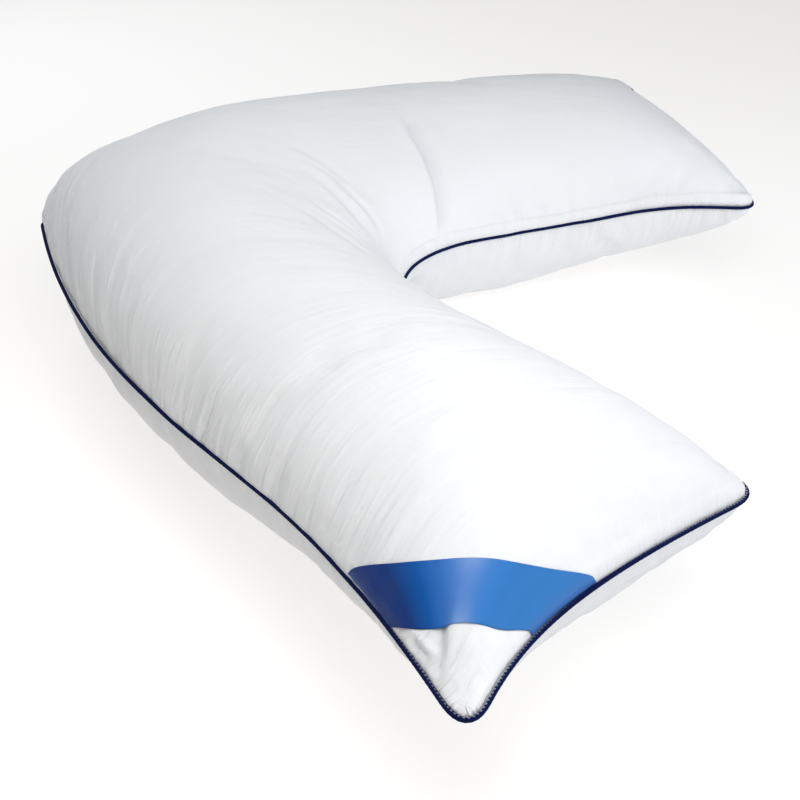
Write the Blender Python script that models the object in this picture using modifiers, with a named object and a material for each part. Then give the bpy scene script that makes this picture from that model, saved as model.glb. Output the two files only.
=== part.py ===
"""V-shaped support pillow with a piped seam and a satin corner band.

Two cloth panels are cut to one V outline, sewn together with a covered cord in the seam, and
filled. The plan is symmetric about the XZ plane: the crotch of the V faces +X, the near arm runs
to -Y and the far arm to +Y. The underside lies on Z = 0, and the origin is below the middle of the
pillow's box. Metres throughout.
"""

import math

import bmesh
import bpy
import numpy as np
from mathutils import Vector

# Plan of the seam, for the arm on the +Y side, measured from the crotch of the V
APEX = (-0.3886, 0.0)
OUTER_TIP = (0.1700, 0.5405)
INNER_TIP = (0.3425, 0.2405)
CROTCH = (0.0, 0.0)

# How the seam leaves each of those points: heading in degrees, and pull of the curve in metres
APEX_HEADING, APEX_PULL = 58.0, 0.377
OUTER_TIP_ARRIVAL, OUTER_TIP_PULL = 52.7, 0.360
END_HEADING_OUTER, END_PULL_OUTER = -82.0, 0.083
END_HEADING_INNER, END_PULL_INNER = 131.4, 0.2155
CROTCH_HEADING, CROTCH_PULL = 90.0, 0.148
TIP_ROUNDING = 0.037

# Heights. The seam lifts at the tips, sags at the apex, and waves softly along each arm
SEAM_HEIGHT = 0.108
CROWN = 0.1153
BELLY = 0.1215
OUTER_TIP_LIFT = 0.021
INNER_TIP_LIFT = 0.0073
APEX_DROP = 0.0035
OUTER_WAVE = 0.0032
INNER_SAG, INNER_WAVE = 0.0054, 0.0027

# Fullness: powers below 1 make a rounder section
SIDE_POWER = 0.475
CROWN_END_REACH, CROWN_END_POWER = 4, 0.535
BELLY_END_REACH, BELLY_END_POWER = 3, 0.33
LIFT_REACH = 6
ELBOW_REACH = 4
APEX_PINCH = 0.08
CROTCH_PINCH = 0.10
BELLY_PINCH = 0.02
PINCH_SPREAD = 0.12

# Soft creases that fan out of the crotch over the elbow, placed by station and across measure;
# slant turns one off its section, and reach and width are in the same measures
CREASES = (
    {"s": 0.10, "t": 0.78, "slant": 0.25, "reach": 0.16, "width": 0.030, "depth": 0.006},
    {"s": 0.22, "t": 0.80, "slant": -0.10, "reach": 0.20, "width": 0.022, "depth": 0.005},
    {"s": -0.08, "t": 0.74, "slant": -0.30, "reach": 0.16, "width": 0.028, "depth": 0.005},
)

# Piping cord, and the gap that parts it from the cloth's edge
PIPING_RADIUS = 0.0018
PART_GAP = 0.0004
TIP_POINTS = 4

# Satin band across the outer corner of the -Y arm, in the panel's own (station, across) measure
BAND_UPPER_EDGE = ((0.808, 0.0), (0.936, 0.114), (1.0, 0.469))
BAND_LOWER_EDGE = ((0.886, 0.0), (0.946, 0.022), (1.0, 0.247))
BAND_THICKNESS = 0.0010
BAND_CLEARANCE = 0.0007
BAND_END_HEIGHT = 0.0038
BAND_CREST_START, BAND_CREST_END = 0.3, 0.7
HALVINGS = 30
NORMAL_STEP = 0.002

# Mesh fineness
STATIONS = 64
ACROSS = 20
BAND_LENGTH_CELLS = 22
BAND_WIDTH_CELLS = 5
CURVE_SAMPLES = 160
TIP_SAMPLES = 12
SHARP_ANGLE = 70.0
WELD_DISTANCE = 0.00002

COLLECTION = "v_pillow"
FINISHES = {
    "pillow": ((0.86, 0.87, 0.88), 0.78),
    "piping": ((0.010, 0.017, 0.085), 0.62),
    "corner_band": ((0.035, 0.125, 0.420), 0.36),
}


def clear_scene():
    """Remove every object, so the script starts from nothing."""
    for old in list(bpy.data.objects):
        bpy.data.objects.remove(old, do_unlink=True)


def heading(degrees):
    """Unit vector in the plan."""
    angle = math.radians(degrees)
    return np.array([math.cos(angle), math.sin(angle)])


def cubic(start, start_handle, end_handle, end):
    """Points of a cubic curve."""
    u = np.linspace(0.0, 1.0, CURVE_SAMPLES)[:, None]
    v = 1.0 - u
    return v**3 * start + 3 * v * v * u * start_handle + 3 * v * u * u * end_handle + u**3 * end


def arc_lengths(points):
    """Distance along a polyline at each of its points."""
    steps = np.linalg.norm(np.diff(points, axis=0), axis=1)
    return np.concatenate([[0.0], np.cumsum(steps)])


def point_at(points, fractions):
    """Points at the given fractions of a polyline's length."""
    lengths = arc_lengths(points)
    at = np.asarray(fractions) * lengths[-1]
    return np.stack([np.interp(at, lengths, points[:, axis]) for axis in range(2)], axis=-1)


def trimmed(points, head, tail):
    """The polyline without the given lengths at its two ends."""
    total = arc_lengths(points)[-1]
    return point_at(points, np.linspace(head / total, 1.0 - tail / total, CURVE_SAMPLES))


def rounded_tip(before, tip, after):
    """Quadratic arc that replaces a sharp corner, as its two halves."""
    u = np.linspace(0.0, 1.0, 2 * TIP_SAMPLES + 1)[:, None]
    v = 1.0 - u
    arc = v * v * before + 2 * v * u * tip + u * u * after
    return arc[: TIP_SAMPLES + 1], arc[TIP_SAMPLES:]


def offset_inward(points, distance):
    """The open polyline moved towards the cloth, which lies on its right hand side."""
    tangent = np.gradient(points, axis=0)
    tangent /= np.linalg.norm(tangent, axis=1)[:, None]
    inward = np.stack([tangent[:, 1], -tangent[:, 0]], axis=1)
    return points + distance * inward


def half_outline():
    """Seam of the +Y arm: its outer edge, its end and its inner edge, tips rounded."""
    apex, outer, inner, crotch = (np.array(p) for p in (APEX, OUTER_TIP, INNER_TIP, CROTCH))
    outer_edge = cubic(
        apex,
        apex + APEX_PULL * heading(APEX_HEADING),
        outer - OUTER_TIP_PULL * heading(OUTER_TIP_ARRIVAL),
        outer,
    )
    end_edge = cubic(
        outer,
        outer + END_PULL_OUTER * heading(END_HEADING_OUTER),
        inner + END_PULL_INNER * heading(END_HEADING_INNER),
        inner,
    )
    inner_edge = cubic(inner, inner, crotch + CROTCH_PULL * heading(CROTCH_HEADING), crotch)
    outer_edge = trimmed(outer_edge, 0.0, TIP_ROUNDING)
    end_edge = trimmed(end_edge, TIP_ROUNDING, TIP_ROUNDING)
    inner_edge = trimmed(inner_edge, TIP_ROUNDING, 0.0)
    first, second = rounded_tip(outer_edge[-1], outer, end_edge[0])
    third, fourth = rounded_tip(end_edge[-1], inner, inner_edge[0])
    return (
        np.concatenate([outer_edge, first[1:]]),
        np.concatenate([second, end_edge[1:], third[1:]]),
        np.concatenate([fourth, inner_edge[1:]]),
    )


def plan_centre_x(edges):
    """Middle of the seam's extent along X."""
    every = np.concatenate(edges)
    return (every[:, 0].min() + every[:, 0].max()) / 2


def inset_edges(edges, distance):
    """The three edges moved inward together, so that they still meet."""
    counts = [len(edge) for edge in edges]
    whole = np.concatenate([edges[0], edges[1][1:], edges[2][1:]])
    moved = offset_inward(whole, distance)
    moved[0] = whole[0] + (distance / math.sin(math.radians(APEX_HEADING)), 0.0)
    moved[-1] = whole[-1] - (distance, 0.0)
    first = moved[: counts[0]]
    second = moved[counts[0] - 1 : counts[0] + counts[1] - 1]
    third = moved[counts[0] + counts[1] - 2 :]
    return first, second, third


class Panel:
    """Plan and crown of the cloth, in the measure (station, across).

    The station runs from -1 at the end of the -Y arm, through 0 at the elbow, to 1 at the end of
    the +Y arm. Across runs from 0 at the outer seam to 1 at the inner seam.
    """

    def __init__(self, inset):
        edges = half_outline()
        self.shift = plan_centre_x(edges)
        self.outer, self.end, inner = inset_edges(edges, inset)
        self.inner = inner[::-1]

    def plan(self, s, t):
        """Plan point on the +Y arm, blended between the four edges of the half panel."""
        outer, inner, end = point_at(self.outer, s), point_at(self.inner, s), point_at(self.end, t)
        axis = (1 - t) * self.outer[0] + t * self.inner[0]
        corners = (1 - s) * axis + s * ((1 - t) * self.outer[-1] + t * self.inner[-1])
        return (1 - t) * outer + t * inner + (1 - s) * axis + s * end - corners

    def seam_height(self, s, t):
        """Height of the seam plane."""
        tip = s**LIFT_REACH * ((1 - t) * OUTER_TIP_LIFT + t * INNER_TIP_LIFT)
        apex = (1 - t) * (1 - s) ** ELBOW_REACH * APEX_DROP
        thirds, halves = math.sin(3 * math.pi * s), math.sin(2 * math.pi * s)
        inner = INNER_WAVE * thirds - INNER_SAG * halves
        return SEAM_HEIGHT + tip - apex + (1 - t) * OUTER_WAVE * thirds + t * inner

    def fullness(self, s, t, above=True):
        """0 at the seam and 1 where the filling is deepest."""
        pinch = APEX_PINCH if t < 0.5 else CROTCH_PINCH
        reach, end_power = CROWN_END_REACH, CROWN_END_POWER
        if not above:
            pinch, reach, end_power = BELLY_PINCH, BELLY_END_REACH, BELLY_END_POWER
        power = SIDE_POWER + pinch * math.exp(-((s / PINCH_SPREAD) ** 2))
        side = max(4 * t * (1 - t), 0.0) ** power
        return side * max(1 - s**reach, 0.0) ** end_power

    def point(self, station, t, above=True):
        """World point of the top or the bottom panel."""
        s = abs(station)
        x, y = self.plan(s, t)
        seam, full = self.seam_height(s, t), self.fullness(s, t, above)
        if above:
            z = seam + CROWN * full - crease_depth(station, t) * full
        else:
            z = max(seam - BELLY * full, 0.0)
        return Vector((x - self.shift, math.copysign(y, station), z))


def crease_depth(station, t):
    """Depth of the soft creases that fan out of the crotch over the elbow."""
    depth = 0.0
    for crease in CREASES:
        along = (crease["t"] - t) / crease["reach"]
        aside = (station - crease["s"] - crease["slant"] * (crease["t"] - t)) / crease["width"]
        depth += crease["depth"] * math.exp(-(along**2) - aside**2)
    return depth


def spaced_station(u):
    """Station for a grid coordinate in [-1, 1], closer together towards the ends."""
    return 0.5 * u + 0.5 * math.sin(u * math.pi / 2)


def spaced_across(u):
    """Across measure for a grid coordinate in [-1, 1], closer together at the two seams."""
    return math.sin((u + 1) * math.pi / 4) ** 2


def warped_grid(columns, rows, place):
    """A flat grid whose every vertex is put where place(u, v) says, u and v in [-1, 1]."""
    bm = bmesh.new()
    bmesh.ops.create_grid(bm, x_segments=columns, y_segments=rows, size=1.0)
    for vertex in bm.verts:
        vertex.co = place(vertex.co.x, vertex.co.y)
    return bm


def mesh_object(name, bm, collection):
    """Object of a bmesh, smooth shaded, in its own finish."""
    mesh = bpy.data.meshes.new(name)
    bm.to_mesh(mesh)
    bm.free()
    mesh.shade_smooth()
    mesh.set_sharp_from_angle(angle=math.radians(SHARP_ANGLE))
    mesh.materials.append(finish(name))
    placed = bpy.data.objects.new(name, mesh)
    collection.objects.link(placed)
    return placed


def finish(name):
    """Plain material of one piece."""
    colour, roughness = FINISHES[name]
    material = bpy.data.materials.new(name)
    material.use_nodes = True
    shader = material.node_tree.nodes["Principled BSDF"]
    shader.inputs["Base Color"].default_value = (*colour, 1.0)
    shader.inputs["Roughness"].default_value = roughness
    shader.inputs["Metallic"].default_value = 0.0
    return material


def build_pillow(collection):
    """The filled body: two warped grids that meet along the seam."""
    panel = Panel(PIPING_RADIUS + PART_GAP)
    bm = bmesh.new()
    for above in (True, False):
        half = warped_grid(
            STATIONS,
            ACROSS,
            lambda u, v, above=above: panel.point(spaced_station(u), spaced_across(v), above),
        )
        sheet = bpy.data.meshes.new("panel")
        half.to_mesh(sheet)
        half.free()
        bm.from_mesh(sheet)
        bpy.data.meshes.remove(sheet)
    bmesh.ops.remove_doubles(bm, verts=bm.verts, dist=WELD_DISTANCE)
    bmesh.ops.recalc_face_normals(bm, faces=bm.faces)
    return mesh_object("pillow", bm, collection)


def seam_measures():
    """Measures (station, across) of the +Y half seam: the body's own, and more at the tips."""
    stations = [spaced_station(k / (STATIONS / 2)) for k in range(STATIONS // 2 + 1)]
    acrosses = [spaced_across(2 * k / ACROSS - 1) for k in range(ACROSS + 1)]
    near_tip = list(np.linspace(stations[-2], 1.0, TIP_POINTS + 2)[1:-1])
    stations = stations[:-1] + near_tip + [1.0]
    outer = [(s, 0.0) for s in stations]
    end = [(1.0, t) for t in acrosses[1:-1]]
    inner = [(s, 1.0) for s in reversed(stations)]
    return outer + end + inner


def seam_loop():
    """Closed path of the seam."""
    panel = Panel(0.0)
    half = [panel.point(s, t) for s, t in seam_measures()]
    mirrored = [Vector((p.x, -p.y, p.z)) for p in reversed(half[1:-1])]
    return half + mirrored


def build_piping(collection):
    """Covered cord sewn into the whole seam."""
    curve = bpy.data.curves.new("piping", "CURVE")
    curve.dimensions = "3D"
    curve.bevel_depth = PIPING_RADIUS
    curve.bevel_resolution = 2
    spline = curve.splines.new("POLY")
    path = seam_loop()
    spline.points.add(len(path) - 1)
    for control, place in zip(spline.points, path):
        control.co = (*place, 1.0)
    spline.use_cyclic_u = True
    curve.materials.append(finish("piping"))
    placed = bpy.data.objects.new("piping", curve)
    collection.objects.link(placed)
    return placed


def band_measure(edge, m):
    """Point (station, across) on one edge of the band, m from 0 to 1 along it."""
    n = 1 - m
    return [n * n * a + 2 * n * m * b + m * m * c for a, b, c in zip(*edge)]


def band_run(panel, edge):
    """Range of m over which this edge of the band lies clear above the seam, by halving."""

    def height(m):
        s, t = band_measure(edge, m)
        return panel.point(s, t).z - panel.seam_height(s, t)

    ends = []
    for inside, outside in ((BAND_CREST_START, 0.0), (BAND_CREST_END, 1.0)):
        for _ in range(HALVINGS):
            middle = (inside + outside) / 2
            if height(middle) > BAND_END_HEIGHT:
                inside = middle
            else:
                outside = middle
        ends.append(inside)
    return ends


def build_corner_band(collection):
    """Satin band that lies on the top panel over the outer corner of the -Y arm."""
    panel = Panel(PIPING_RADIUS + PART_GAP)
    lower_run = band_run(panel, BAND_LOWER_EDGE)
    upper_run = band_run(panel, BAND_UPPER_EDGE)

    def surface(u, v):
        along, over = spaced_across(u), (v + 1) / 2
        pair = []
        for edge, run in ((BAND_LOWER_EDGE, lower_run), (BAND_UPPER_EDGE, upper_run)):
            pair.append(band_measure(edge, run[0] + along * (run[1] - run[0])))
        s, t = ((1 - over) * a + over * b for a, b in zip(*pair))
        return panel.point(-s, t)

    def lifted(u, v):
        across = surface(u + NORMAL_STEP, v) - surface(u - NORMAL_STEP, v)
        over = surface(u, v + NORMAL_STEP) - surface(u, v - NORMAL_STEP)
        normal = across.cross(over).normalized()
        if normal.z < 0:
            normal.negate()
        return surface(u, v) + normal * BAND_CLEARANCE

    bm = warped_grid(BAND_LENGTH_CELLS, BAND_WIDTH_CELLS, lifted)
    bmesh.ops.recalc_face_normals(bm, faces=bm.faces)
    if sum(face.normal.z for face in bm.faces) < 0:
        bmesh.ops.reverse_faces(bm, faces=bm.faces)
    band = mesh_object("corner_band", bm, collection)
    solidify = band.modifiers.new("thickness", "SOLIDIFY")
    solidify.thickness = BAND_THICKNESS
    solidify.offset = 1.0
    solidify.use_even_offset = True
    return band


def main():
    """Build the pillow."""
    clear_scene()
    collection = bpy.data.collections.new(COLLECTION)
    bpy.context.scene.collection.children.link(collection)
    build_pillow(collection)
    build_piping(collection)
    build_corner_band(collection)


main()
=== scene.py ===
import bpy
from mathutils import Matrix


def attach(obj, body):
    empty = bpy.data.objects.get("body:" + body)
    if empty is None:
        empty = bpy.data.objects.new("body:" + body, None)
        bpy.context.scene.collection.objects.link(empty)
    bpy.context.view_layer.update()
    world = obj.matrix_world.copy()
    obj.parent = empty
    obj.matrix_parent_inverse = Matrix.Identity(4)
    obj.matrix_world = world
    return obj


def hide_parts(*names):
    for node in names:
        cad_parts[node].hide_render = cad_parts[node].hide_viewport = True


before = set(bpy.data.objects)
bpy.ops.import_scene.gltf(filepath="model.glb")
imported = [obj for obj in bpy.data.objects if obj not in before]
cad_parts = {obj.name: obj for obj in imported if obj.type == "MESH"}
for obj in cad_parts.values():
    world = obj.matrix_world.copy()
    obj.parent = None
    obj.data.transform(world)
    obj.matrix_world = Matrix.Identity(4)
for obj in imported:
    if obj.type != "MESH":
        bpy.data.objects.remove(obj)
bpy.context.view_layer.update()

"""Dressed V-shaped support pillow: white cotton body, navy piped seam and blue satin corner band.

The V is symmetric about the XZ plane and opens towards +X. The near arm runs to -Y and carries the
band. A place on the cloth is given by its measure (station, across): the station runs from -1 at
the end of the -Y arm, through 0 at the elbow, to 1 at the end of the +Y arm, and across runs from
0 at the outer seam to 1 at the inner seam. Metres throughout.
"""

import logging
import math
from collections.abc import Callable
from dataclasses import dataclass, field
from enum import Enum

import bmesh
import bpy
import numpy as np
from mathutils import Matrix, Vector

Array = np.ndarray
Colour = tuple[float, float, float, float]
Measure = tuple[float, float]
Range = tuple[float, float]
Triple = tuple[float, float, float]

log = logging.getLogger("pillow")

UV_NAME = "weave"
SEAM_DISTANCE = "seam_distance"
SEAM_RUN = "seam_run"
STITCHING = "stitching"
PULL_LINE = "pull_line"
PULL_REACH = "pull_reach"
PUCKERED = "puckered"
HEMMED = "hemmed"
# Measure of painted shade in the sunk folds of the cloth.
FOLD_SHADE = "cavity"
FAN_END = 0.55
FAN_LEAN = 3.7
FAN_BEND = 0.12
SEAM_GAP = 0.0004
STITCHED_LENGTH = 0.16
TINY = 1e-9


class Face(Enum):
    """The two cloth panels, by the direction that they face."""

    TOP = 1
    BOTTOM = -1


class Seam(Enum):
    """The three stretches of seam on each arm."""

    OUTER = 0
    END = 1
    INNER = 2


# Measures of the cloth


def unit(vectors: Array) -> Array:
    """Vectors at length one."""
    return vectors / np.maximum(np.linalg.norm(vectors, axis=-1, keepdims=True), TINY)


def heading(degrees: float) -> Array:
    """Unit vector in the plan."""
    angle = math.radians(degrees)
    return np.array([math.cos(angle), math.sin(angle)])


def ease(values: Array) -> Array:
    """Smooth step from 0 to 1 of values that are clipped to that range."""
    clipped = np.clip(values, 0.0, 1.0)
    return clipped * clipped * (3.0 - 2.0 * clipped)


def arc_lengths(points: Array) -> Array:
    """Distance along a polyline at each of its points."""
    steps = np.linalg.norm(np.diff(points, axis=0), axis=-1)
    return np.concatenate([np.zeros_like(steps[:1]), np.cumsum(steps, axis=0)])


def point_at(points: Array, fractions: Array) -> Array:
    """Points at the given fractions of a polyline's length."""
    lengths = arc_lengths(points)
    at = np.asarray(fractions) * lengths[-1]
    axes = range(points.shape[-1])
    return np.stack([np.interp(at, lengths, points[:, axis]) for axis in axes], axis=-1)


def spaced_station(u: Array) -> Array:
    """Station for a grid coordinate in [-1, 1], closer together towards the ends."""
    return 0.5 * u + 0.5 * np.sin(u * math.pi / 2)


def spaced_across(v: Array) -> Array:
    """Across measure for a grid coordinate in [-1, 1], closer together at the two seams."""
    return np.sin((v + 1) * math.pi / 4) ** 2


@dataclass(frozen=True)
class SoftNoise:
    """Smooth seeded noise over a plane, from -1 to 1."""

    seed: int
    pitch_x: float
    pitch_y: float = 1.0
    lattice_size: int = 64

    def at(self, x: Array, y: Array | float = 0.0) -> Array:
        """Noise at the given places.

        Args:
            x: First coordinate.
            y: Second coordinate.

        Returns:
            One value for each place.
        """
        size = self.lattice_size
        lattice = np.random.default_rng(self.seed).uniform(-1.0, 1.0, (size, size))
        gx, gy = np.broadcast_arrays(np.asarray(x) / self.pitch_x, np.asarray(y) / self.pitch_y)
        i, j = np.floor(gx).astype(int), np.floor(gy).astype(int)
        fx, fy = ease(gx - i), ease(gy - j)
        low = lattice[i % size, j % size] * (1 - fx) + lattice[(i + 1) % size, j % size] * fx
        j = j + 1
        high = lattice[i % size, j % size] * (1 - fx) + lattice[(i + 1) % size, j % size] * fx
        return low * (1 - fy) + high * fy


@dataclass(frozen=True)
class SeamPlan:
    """Seam of the +Y arm in the plan, from the crotch of the V: its corners, headings and pulls."""

    apex: Measure = (-0.3886, 0.0)
    outer_tip: Measure = (0.1700, 0.5405)
    inner_tip: Measure = (0.3425, 0.2405)
    crotch: Measure = (0.0, 0.0)
    apex_heading: float = 58.0
    apex_pull: float = 0.377
    outer_tip_arrival: float = 52.7
    outer_tip_pull: float = 0.360
    end_heading_outer: float = -82.0
    end_pull_outer: float = 0.083
    end_heading_inner: float = 131.4
    end_pull_inner: float = 0.2155
    crotch_heading: float = 90.0
    crotch_pull: float = 0.148
    tip_rounding: float = 0.037
    curve_samples: int = 160
    tip_samples: int = 12

    def _cubic(self, start: Array, start_handle: Array, end_handle: Array, end: Array) -> Array:
        """Points of a cubic curve."""
        u = np.linspace(0.0, 1.0, self.curve_samples)[:, None]
        v = 1.0 - u
        leaving = v**3 * start + 3 * v * v * u * start_handle
        return leaving + 3 * v * u * u * end_handle + u**3 * end

    def _trimmed(self, points: Array, head: float, tail: float) -> Array:
        """The polyline without the given lengths at its two ends."""
        total = arc_lengths(points)[-1]
        return point_at(points, np.linspace(head / total, 1 - tail / total, self.curve_samples))

    def _rounded(self, before: Array, tip: Array, after: Array) -> tuple[Array, Array]:
        """Quadratic arc that replaces a sharp corner, as its two halves."""
        u = np.linspace(0.0, 1.0, 2 * self.tip_samples + 1)[:, None]
        v = 1.0 - u
        arc = v * v * before + 2 * v * u * tip + u * u * after
        return arc[: self.tip_samples + 1], arc[self.tip_samples :]

    def edges(self) -> list[Array]:
        """The outer, end and inner edges: polylines that each start where the last one ends."""
        apex, outer = np.array(self.apex), np.array(self.outer_tip)
        inner, crotch = np.array(self.inner_tip), np.array(self.crotch)
        outer_edge = self._cubic(
            apex,
            apex + self.apex_pull * heading(self.apex_heading),
            outer - self.outer_tip_pull * heading(self.outer_tip_arrival),
            outer,
        )
        end_edge = self._cubic(
            outer,
            outer + self.end_pull_outer * heading(self.end_heading_outer),
            inner + self.end_pull_inner * heading(self.end_heading_inner),
            inner,
        )
        crotch_handle = crotch + self.crotch_pull * heading(self.crotch_heading)
        inner_edge = self._cubic(inner, inner, crotch_handle, crotch)
        outer_edge = self._trimmed(outer_edge, 0.0, self.tip_rounding)
        end_edge = self._trimmed(end_edge, self.tip_rounding, self.tip_rounding)
        inner_edge = self._trimmed(inner_edge, self.tip_rounding, 0.0)
        first, second = self._rounded(outer_edge[-1], outer, end_edge[0])
        third, fourth = self._rounded(end_edge[-1], inner, inner_edge[0])
        return [
            np.concatenate([outer_edge, first[1:]]),
            np.concatenate([second, end_edge[1:], third[1:]]),
            np.concatenate([fourth, inner_edge[1:]]),
        ]

    def inset(self, distance: float) -> list[Array]:
        """The three edges moved into the cloth together, so that they still meet."""
        edges = self.edges()
        counts = [len(edge) for edge in edges]
        whole = np.concatenate([edges[0], edges[1][1:], edges[2][1:]])
        tangent = unit(np.gradient(whole, axis=0))
        moved = whole + distance * np.stack([tangent[:, 1], -tangent[:, 0]], axis=1)
        moved[0] = whole[0] + (distance / math.sin(math.radians(self.apex_heading)), 0.0)
        moved[-1] = whole[-1] - (distance, 0.0)
        second = counts[0] - 1
        third = second + counts[1] - 1
        return [moved[: counts[0]], moved[second : third + 1], moved[third:]]

    def centre_x(self) -> float:
        """Middle of the seam's extent along X."""
        every = np.concatenate(self.edges())
        return float(every[:, 0].min() + every[:, 0].max()) / 2


@dataclass
class Panel:
    """Plan and crown of the cloth, set in from the seam by a distance."""

    inset: float
    plan: SeamPlan = field(default_factory=SeamPlan)
    seam_height: float = 0.108
    crown: float = 0.1153
    belly: float = 0.1215
    outer_tip_lift: float = 0.021
    inner_tip_lift: float = 0.0073
    apex_drop: float = 0.0035
    outer_wave: float = 0.0032
    inner_sag: float = 0.0054
    inner_wave: float = 0.0027
    side_power: float = 0.475
    crown_end: tuple[int, float] = (4, 0.535)
    belly_end: tuple[int, float] = (3, 0.33)
    lift_reach: int = 6
    elbow_reach: int = 4
    apex_pinch: float = 0.08
    crotch_pinch: float = 0.10
    belly_pinch: float = 0.02
    pinch_spread: float = 0.12
    elbow_round: float = 0.11
    far_tip_drop: float = 0.006
    far_tip_reach: int = 12
    sway: float = 0.0009
    sway_seeds: tuple[int, int] = (11, 12)
    sway_pitch: float = 0.060

    def __post_init__(self) -> None:
        """Work out the edges of this panel."""
        self.outer, self.end, inner = self.plan.inset(self.inset)
        self.inner = inner[::-1]
        self.shift = self.plan.centre_x()

    def flat(self, s: Array, t: Array) -> Array:
        """Plan points on the +Y arm, blended between the four edges of the half panel."""
        outer, inner, end = point_at(self.outer, s), point_at(self.inner, s), point_at(self.end, t)
        s, t = s[..., None], t[..., None]
        axis = (1 - t) * self.outer[0] + t * self.inner[0]
        corners = (1 - s) * axis + s * ((1 - t) * self.outer[-1] + t * self.inner[-1])
        return (1 - t) * outer + t * inner + (1 - s) * axis + s * end - corners

    def _eased(self, s: Array, t: Array) -> Array:
        """Distance from the elbow's middle, flat there between the seams, so no crease shows."""
        rounding = np.maximum(self.elbow_round * np.sqrt(np.maximum(4 * t * (1 - t), 0)), TINY)
        return s * (1 - np.exp(-s / rounding))

    def seam_level(self, station: Array, t: Array) -> Array:
        """Height of the seam plane: the tips lift, the apex sags and the arms wave a little."""
        s = self._eased(np.abs(station), t)
        tip = s**self.lift_reach * ((1 - t) * self.outer_tip_lift + t * self.inner_tip_lift)
        apex = (1 - t) * (1 - s) ** self.elbow_reach * self.apex_drop
        thirds, halves = np.sin(3 * math.pi * s), np.sin(2 * math.pi * s)
        inner_wave = self.inner_wave * thirds - self.inner_sag * halves
        level = self.seam_height + tip - apex + (1 - t) * self.outer_wave * thirds + t * inner_wave
        far = np.clip(station, 0, 1) ** self.far_tip_reach
        level = level - self.far_tip_drop * (1 - t) * far
        outer, inner = (SoftNoise(seed, self.sway_pitch) for seed in self.sway_seeds)
        sway = (1 - t) * outer.at(station + 2.0) + t * inner.at(station + 2.0)
        return level + self.sway * sway * np.sin(math.pi * np.clip(s, 0, 1))

    def fullness(self, s: Array, t: Array, face: Face) -> Array:
        """0 at the seam and 1 where the filling is deepest."""
        above = face is Face.TOP
        reach, end_power = self.crown_end if above else self.belly_end
        pinch = np.where(t < 0.5, self.apex_pinch, self.crotch_pinch) if above else self.belly_pinch
        power = self.side_power + pinch * np.exp(-((s / self.pinch_spread) ** 2))
        side = np.maximum(4 * t * (1 - t), 0.0) ** power
        return side * np.maximum(1 - s**reach, 0.0) ** end_power

    def surface(self, station: Array, t: Array, face: Face, size: float = 1.0) -> Array:
        """Places on one face.

        Args:
            station: Stations, of any shape.
            t: Across measures, of the same shape.
            face: Top or bottom panel.
            size: Share of the full height above and below the seam.

        Returns:
            Places, with one more axis.
        """
        s = np.abs(station)
        x = self.flat(self._eased(s, t), t)[..., 0] - self.shift
        y = np.copysign(self.flat(s, t)[..., 1], station)
        seam, full = self.seam_level(station, t), self.fullness(s, t, face) * size
        above, below = seam + self.crown * full, np.maximum(seam - self.belly * full, 0)
        return np.stack([x, y, above if face is Face.TOP else below], axis=-1)


# Cloth grids


def blurred(values: Array, passes: int) -> Array:
    """Values of a grid after passes of a three point blur along its first two axes."""
    for _ in range(passes):
        for axis in (0, 1):
            index = np.arange(values.shape[axis])
            before = np.take(values, np.maximum(index - 1, 0), axis)
            after = np.take(values, np.minimum(index + 1, index[-1]), axis)
            values = 0.25 * before + 0.5 * values + 0.25 * after
    return values


def grid_normals(places: Array, face: Face) -> Array:
    """Outward normals of a grid of places on one face."""
    normals = unit(np.cross(np.gradient(places, axis=0), np.gradient(places, axis=1)))
    middle = normals[normals.shape[0] // 4, normals.shape[1] // 2]
    return normals * np.sign(middle[2]) * face.value


def sampled(values: Array, i: Array, j: Array) -> Array:
    """Values of a grid between its points, at the given fractional indices."""
    i = np.clip(i, 0, values.shape[0] - 1 - TINY)
    j = np.clip(j, 0, values.shape[1] - 1 - TINY)
    i0, j0 = np.floor(i).astype(int), np.floor(j).astype(int)
    fi, fj = (i - i0)[..., None], (j - j0)[..., None]
    low = values[i0, j0] * (1 - fi) + values[i0 + 1, j0] * fi
    high = values[i0, j0 + 1] * (1 - fi) + values[i0 + 1, j0 + 1] * fi
    return low * (1 - fj) + high * fj


@dataclass
class ClothGrid:
    """A rectangular grid of cloth, with a place, a UV and any named measures at each point."""

    places: Array
    uvs: Array
    measures: dict[str, Array] = field(default_factory=dict)

    def add_to(self, bm: bmesh.types.BMesh) -> None:
        """Add the grid to a bmesh, as one warped sheet of quads."""
        columns, rows = self.places.shape[0] - 1, self.places.shape[1] - 1
        uv_layer = bm.loops.layers.uv.get(UV_NAME) or bm.loops.layers.uv.new(UV_NAME)
        layers = {}
        for name in self.measures:
            layers[name] = bm.verts.layers.float.get(name) or bm.verts.layers.float.new(name)
        made = bmesh.ops.create_grid(bm, x_segments=columns, y_segments=rows, size=1.0)["verts"]
        spots = {}
        for vertex in made:
            x, y = (vertex.co.x + 1) / 2, (vertex.co.y + 1) / 2
            spots[vertex] = (round(x * columns), round(y * rows))
        for quad in {face for vertex in made for face in vertex.link_faces}:
            for loop in quad.loops:
                loop[uv_layer].uv = self.uvs[spots[loop.vert]]
        for vertex, spot in spots.items():
            vertex.co = self.places[spot]
            for name, values in self.measures.items():
                vertex[layers[name]] = values[spot]


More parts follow.
